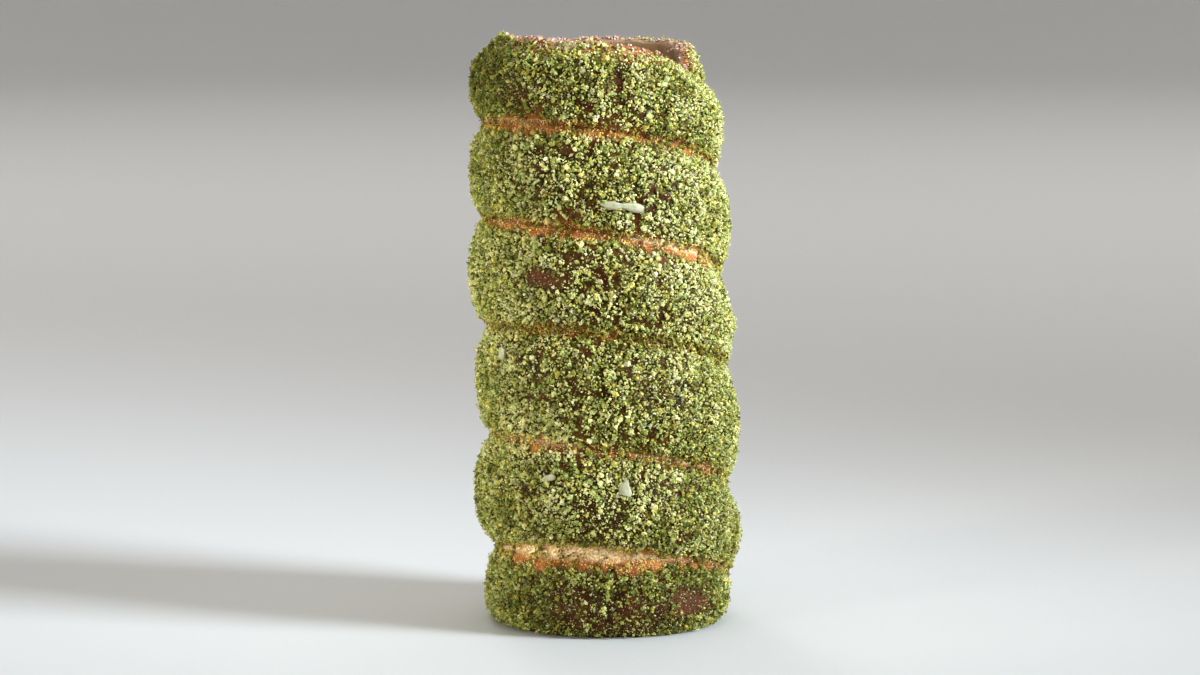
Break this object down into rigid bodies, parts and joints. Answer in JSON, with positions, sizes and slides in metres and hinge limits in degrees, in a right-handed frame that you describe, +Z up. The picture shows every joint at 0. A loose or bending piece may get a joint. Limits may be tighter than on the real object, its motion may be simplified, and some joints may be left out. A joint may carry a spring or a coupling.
{
  "type": "chimney cake",
  "caption": "Tall hollow sweet pastry: a ribbon of yeast dough wound in a spiral round an open bore, coated in ground pistachio.",
  "frame": {"origin": "middle of the lower end, on the surface that the cake stands on", "axes": "+Z up along the cake's length; -Y is the side that is best seen; +X to the right of it"},
  "size_m": [0.1, 0.0981, 0.2158],
  "materials": {
    "pistachio_coat": "matte ground pistachio, green and yellow, stuck to browned dough",
    "baked_dough": "satin orange-brown crust, paler where the turns meet and inside the bore",
    "nut_skin": "matte purple-brown flecks of nut skin",
    "sugar": "sparkling pale sugar grains",
    "almond": "smooth cream almond slivers"
  },
  "bodies": {
    "root": {"chimney_cake": "pistachio_coat"}
  },
  "joints": []
}
